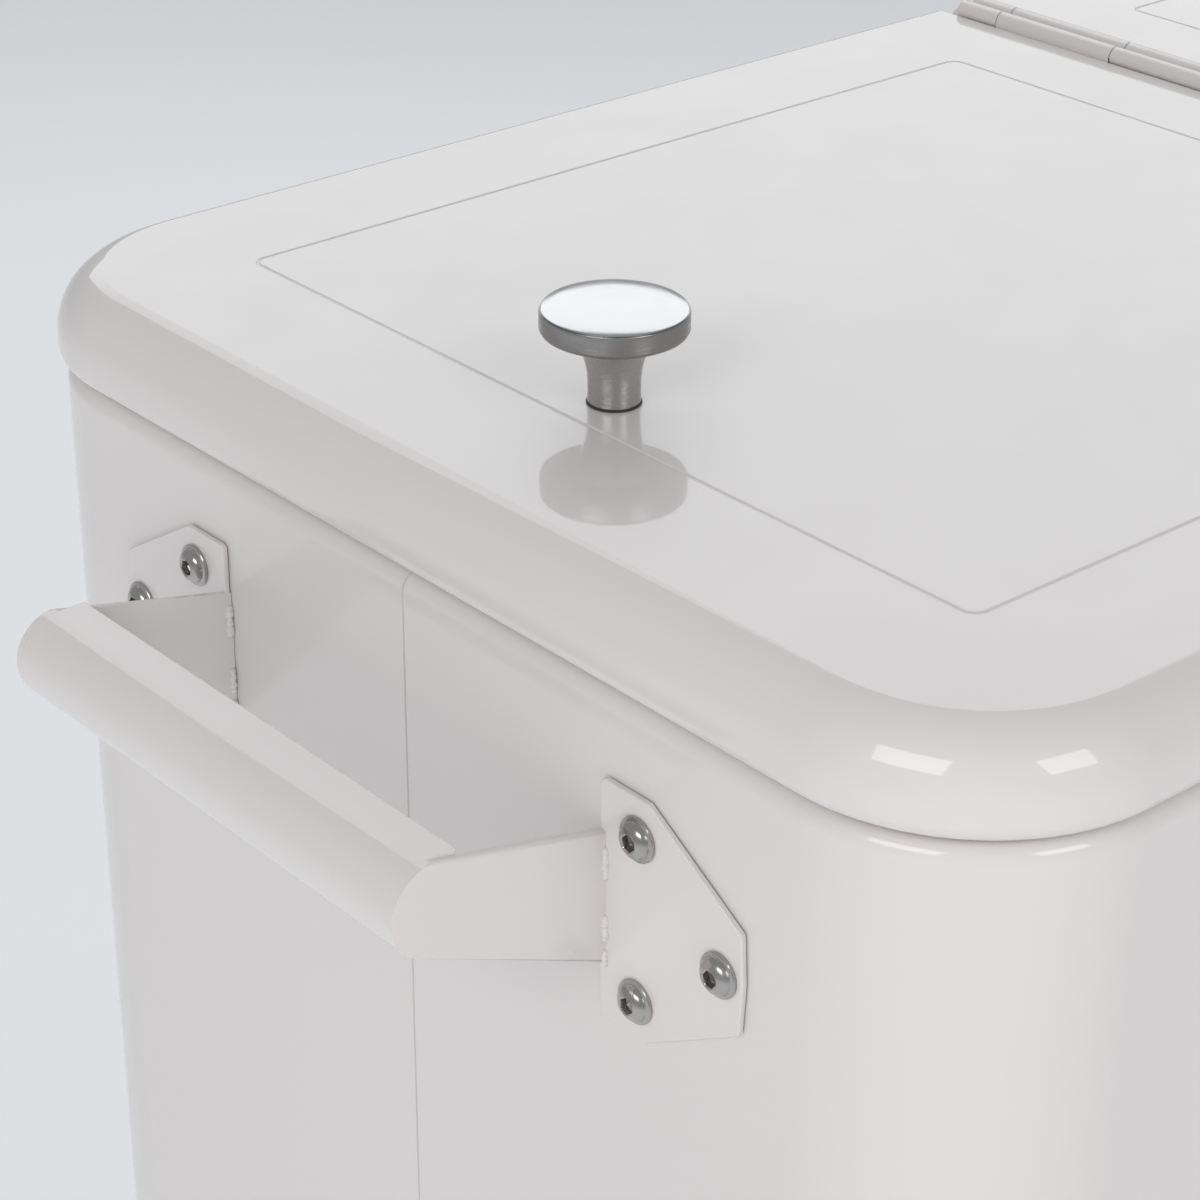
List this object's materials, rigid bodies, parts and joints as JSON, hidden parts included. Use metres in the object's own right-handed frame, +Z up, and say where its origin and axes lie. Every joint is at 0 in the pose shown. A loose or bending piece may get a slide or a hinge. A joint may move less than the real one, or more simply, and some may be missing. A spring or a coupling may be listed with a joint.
{
  "type": "rolling patio cooler",
  "caption": "Insulated steel patio cooler cart: centre-hinged split lid with mushroom knobs, end push handles, bottom shelf and swivel casters.",
  "frame": {"origin": "on the floor under the middle of the chest", "axes": "+X along the length, from the left end to the right end; +Y from the front to the rear; +Z up"},
  "size_m": [0.9056, 0.464, 0.8672],
  "materials": {
    "paint": "gloss warm off-white powder coat",
    "chrome": "polished",
    "stainless": "satin stainless",
    "zinc": "bright zinc plate",
    "liner": "smooth moulded white",
    "white_plastic": "moulded white",
    "foam": "rigid foam",
    "gasket": "soft grey",
    "wheel": "moulded black"
  },
  "bodies": {
    "chest": {"outer_shell": "paint", "bottom_pan": "paint", "insulation_foam": "foam", "inner_liner": "liner", "centre_bar": "white_plastic", "hinge_fixed_leaf": "paint", "hinge_pin_left": "stainless", "hinge_pin_right": "stainless", "shelf": "paint", "drain_spout": "white_plastic", "bottle_opener": "stainless", "catcher_hanger": "stainless", "left_handle_grip": "paint", "left_front_handle_bracket": "paint", "left_front_handle_screws": "stainless", "left_rear_handle_bracket": "paint", "left_rear_handle_screws": "stainless", "right_handle_grip": "paint", "right_front_handle_bracket": "paint", "right_front_handle_screws": "stainless", "right_rear_handle_bracket": "paint", "right_rear_handle_screws": "stainless", "front_left_leg": "paint", "front_left_caster_plate": "zinc", "rear_left_leg": "paint", "rear_left_caster_plate": "zinc", "front_right_leg": "paint", "front_right_caster_plate": "zinc", "rear_right_leg": "paint", "rear_right_caster_plate": "zinc"},
    "left_lid": {"left_lid_shell": "paint", "left_lid_foam": "foam", "left_lid_liner": "liner", "left_lid_gasket": "gasket", "left_hinge_leaf": "paint", "left_knob": "chrome"},
    "right_lid": {"right_lid_shell": "paint", "right_lid_foam": "foam", "right_lid_liner": "liner", "right_lid_gasket": "gasket", "right_hinge_leaf": "paint", "right_knob": "chrome"},
    "front_left_swivel": {"front_left_caster_fork": "zinc", "front_left_caster_axle": "zinc"},
    "front_left_wheel": {"front_left_caster_wheel": "wheel"},
    "front_left_brake": {"front_left_brake_lever": "wheel"},
    "rear_left_swivel": {"rear_left_caster_fork": "zinc", "rear_left_caster_axle": "zinc"},
    "rear_left_wheel": {"rear_left_caster_wheel": "wheel"},
    "front_right_swivel": {"front_right_caster_fork": "zinc", "front_right_caster_axle": "zinc"},
    "front_right_wheel": {"front_right_caster_wheel": "wheel"},
    "front_right_brake": {"front_right_brake_lever": "wheel"},
    "rear_right_swivel": {"rear_right_caster_fork": "zinc", "rear_right_caster_axle": "zinc"},
    "rear_right_wheel": {"rear_right_caster_wheel": "wheel"},
    "drain_cap": {"drain_cap": "white_plastic"},
    "cap_catcher": {"cap_catcher": "stainless"}
  },
  "joints": [
    {"name": "left_lid_hinge", "type": "hinge", "parent": "chest", "child": "left_lid", "pos_m": [-0.0036, 0, 0.8412], "axis": [0, 1, 0], "range_deg": [0, 85]},
    {"name": "right_lid_hinge", "type": "hinge", "parent": "chest", "child": "right_lid", "pos_m": [0.0036, 0, 0.8412], "axis": [0, -1, 0], "range_deg": [0, 85]},
    {"name": "front_left_swivel", "type": "hinge", "parent": "chest", "child": "front_left_swivel", "pos_m": [-0.3396, -0.1512, 0.075], "axis": [0, 0, 1], "continuous": true},
    {"name": "front_left_wheel_spin", "type": "hinge", "parent": "front_left_swivel", "child": "front_left_wheel", "pos_m": [-0.3196, -0.1512, 0.032], "axis": [0, 1, 0], "continuous": true},
    {"name": "front_left_brake", "type": "hinge", "parent": "front_left_swivel", "child": "front_left_brake", "pos_m": [-0.3071, -0.1512, 0.0645], "axis": [0, 1, 0], "range_deg": [0, 10]},
    {"name": "rear_left_swivel", "type": "hinge", "parent": "chest", "child": "rear_left_swivel", "pos_m": [-0.3396, 0.1512, 0.075], "axis": [0, 0, 1], "continuous": true},
    {"name": "rear_left_wheel_spin", "type": "hinge", "parent": "rear_left_swivel", "child": "rear_left_wheel", "pos_m": [-0.3196, 0.1512, 0.032], "axis": [0, 1, 0], "continuous": true},
    {"name": "front_right_swivel", "type": "hinge", "parent": "chest", "child": "front_right_swivel", "pos_m": [0.3396, -0.1512, 0.075], "axis": [0, 0, 1], "continuous": true},
    {"name": "front_right_wheel_spin", "type": "hinge", "parent": "front_right_swivel", "child": "front_right_wheel", "pos_m": [0.3596, -0.1512, 0.032], "axis": [0, 1, 0], "continuous": true},
    {"name": "front_right_brake", "type": "hinge", "parent": "front_right_swivel", "child": "front_right_brake", "pos_m": [0.3721, -0.1512, 0.0645], "axis": [0, 1, 0], "range_deg": [0, 10]},
    {"name": "rear_right_swivel", "type": "hinge", "parent": "chest", "child": "rear_right_swivel", "pos_m": [0.3396, 0.1512, 0.075], "axis": [0, 0, 1], "continuous": true},
    {"name": "rear_right_wheel_spin", "type": "hinge", "parent": "rear_right_swivel", "child": "rear_right_wheel", "pos_m": [0.3596, 0.1512, 0.032], "axis": [0, 1, 0], "continuous": true},
    {"name": "drain_cap_turn", "type": "hinge", "parent": "chest", "child": "drain_cap", "pos_m": [0.3, 0.21, 0.492], "axis": [0, 1, 0], "continuous": true},
    {"name": "cap_catcher_lift", "type": "slide", "parent": "chest", "child": "cap_catcher", "axis": [0, 0, 1], "range_m": [0, 0.012]}
  ]
}
